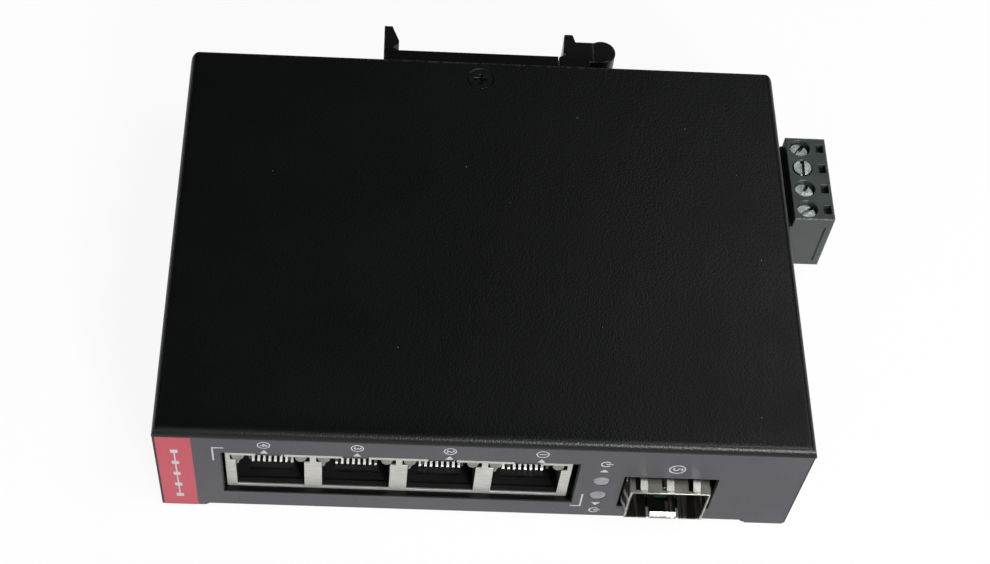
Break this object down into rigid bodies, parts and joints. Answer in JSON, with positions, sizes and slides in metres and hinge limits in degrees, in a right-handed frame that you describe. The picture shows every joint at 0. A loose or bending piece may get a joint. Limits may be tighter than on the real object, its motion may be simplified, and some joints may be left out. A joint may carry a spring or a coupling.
{
  "type": "din rail ethernet switch",
  "caption": "Flat folded-steel network switch with a row of copper ports, a fibre cage, status lamps, a pull-off screw terminal and a sprung rail clip.",
  "frame": {"origin": "middle of the lower broad side of the folded case", "axes": "+X along the row of ports towards the screw terminal, +Y from the port panel to the rail clip, +Z out of the upper broad side"},
  "size_m": [0.1263, 0.1002, 0.0275],
  "materials": {
    "case_paint": "fine black powder coat on folded steel",
    "black_screw": "blackened steel screws",
    "film": "printed dark grey film with a red end band",
    "board": "green circuit board",
    "plated_steel": "zinc plated steel",
    "port_shield": "bright tinned shield",
    "port_plastic": "black moulded plastic",
    "lamp_lens": "pale translucent lens",
    "gold_contact": "gold plated contacts",
    "cage_steel": "nickel plated sheet",
    "status_lens": "milky lamp",
    "chip_resin": "black moulding",
    "ferrite": "pressed ferrite",
    "can_aluminium": "aluminium can",
    "fuse_ceramic": "white tube with metal end caps",
    "terminal_plastic": "dark grey moulded plastic",
    "tinned_copper": "tinned copper alloy",
    "clip_plastic": "black moulded plastic",
    "clamp_steel": "zinc plated steel",
    "spring_steel": "spring wire"
  },
  "bodies": {
    "case": {"chassis": "case_paint", "cover": "case_paint", "cover_screw": "black_screw", "front_film": "film", "circuit_board": "board", "board_posts": "plated_steel", "jack_shield": "port_shield", "jack_housing": "port_plastic", "jack_lamps": "lamp_lens", "jack_contacts": "gold_contact", "fibre_cage": "cage_steel", "cage_fingers": "cage_steel", "fibre_connector": "port_plastic", "lamp_holder": "port_plastic", "status_lamps": "status_lens", "switch_chip": "chip_resin", "isolation_transformers": "chip_resin", "power_inductor": "ferrite", "capacitors": "can_aluminium", "crystal": "plated_steel", "voltage_regulator": "chip_resin", "fuse": "fuse_ceramic", "terminal_header": "terminal_plastic", "header_pins": "tinned_copper", "clip_base": "clip_plastic", "clip_screws": "black_screw", "latch_spring": "spring_steel"},
    "latch": {"rail_latch": "clip_plastic"},
    "plug": {"terminal_plug": "terminal_plastic", "plug_contacts": "tinned_copper"},
    "screw_1": {"clamp_screw_1": "clamp_steel"},
    "clamp_1": {"wire_clamp_1": "clamp_steel"},
    "screw_2": {"clamp_screw_2": "clamp_steel"},
    "clamp_2": {"wire_clamp_2": "clamp_steel"},
    "screw_3": {"clamp_screw_3": "clamp_steel"},
    "clamp_3": {"wire_clamp_3": "clamp_steel"},
    "screw_4": {"clamp_screw_4": "clamp_steel"},
    "clamp_4": {"wire_clamp_4": "clamp_steel"}
  },
  "joints": [
    {"name": "latch_pull", "type": "slide", "parent": "case", "child": "latch", "axis": [1, 0, 0], "range_m": [0, 0.0035], "stiffness_N_per_m": 400, "deforming": ["latch_spring"]},
    {"name": "plug_pull", "type": "slide", "parent": "case", "child": "plug", "axis": [1, 0, 0], "range_m": [0, 0.012]},
    {"name": "screw_turn_1", "type": "hinge", "parent": "plug", "child": "screw_1", "pos_m": [0.0636, 0.0159, 0.013], "axis": [0, 0, -1], "range_deg": [0, 1440]},
    {"name": "clamp_rise_1", "type": "slide", "parent": "plug", "child": "clamp_1", "axis": [0, 0, 1], "range_m": [0, 0.002]},
    {"name": "screw_turn_2", "type": "hinge", "parent": "plug", "child": "screw_2", "pos_m": [0.0636, 0.0209, 0.013], "axis": [0, 0, -1], "range_deg": [0, 1440]},
    {"name": "clamp_rise_2", "type": "slide", "parent": "plug", "child": "clamp_2", "axis": [0, 0, 1], "range_m": [0, 0.002]},
    {"name": "screw_turn_3", "type": "hinge", "parent": "plug", "child": "screw_3", "pos_m": [0.0636, 0.0259, 0.013], "axis": [0, 0, -1], "range_deg": [0, 1440]},
    {"name": "clamp_rise_3", "type": "slide", "parent": "plug", "child": "clamp_3", "axis": [0, 0, 1], "range_m": [0, 0.002]},
    {"name": "screw_turn_4", "type": "hinge", "parent": "plug", "child": "screw_4", "pos_m": [0.0636, 0.0309, 0.013], "axis": [0, 0, -1], "range_deg": [0, 1440]},
    {"name": "clamp_rise_4", "type": "slide", "parent": "plug", "child": "clamp_4", "axis": [0, 0, 1], "range_m": [0, 0.002]}
  ],
  "couplings": [
    {"joint": "screw_turn_1", "follows": "clamp_rise_1", "rad_per_m": 12566},
    {"joint": "screw_turn_2", "follows": "clamp_rise_2", "rad_per_m": 12566},
    {"joint": "screw_turn_3", "follows": "clamp_rise_3", "rad_per_m": 12566},
    {"joint": "screw_turn_4", "follows": "clamp_rise_4", "rad_per_m": 12566}
  ]
}
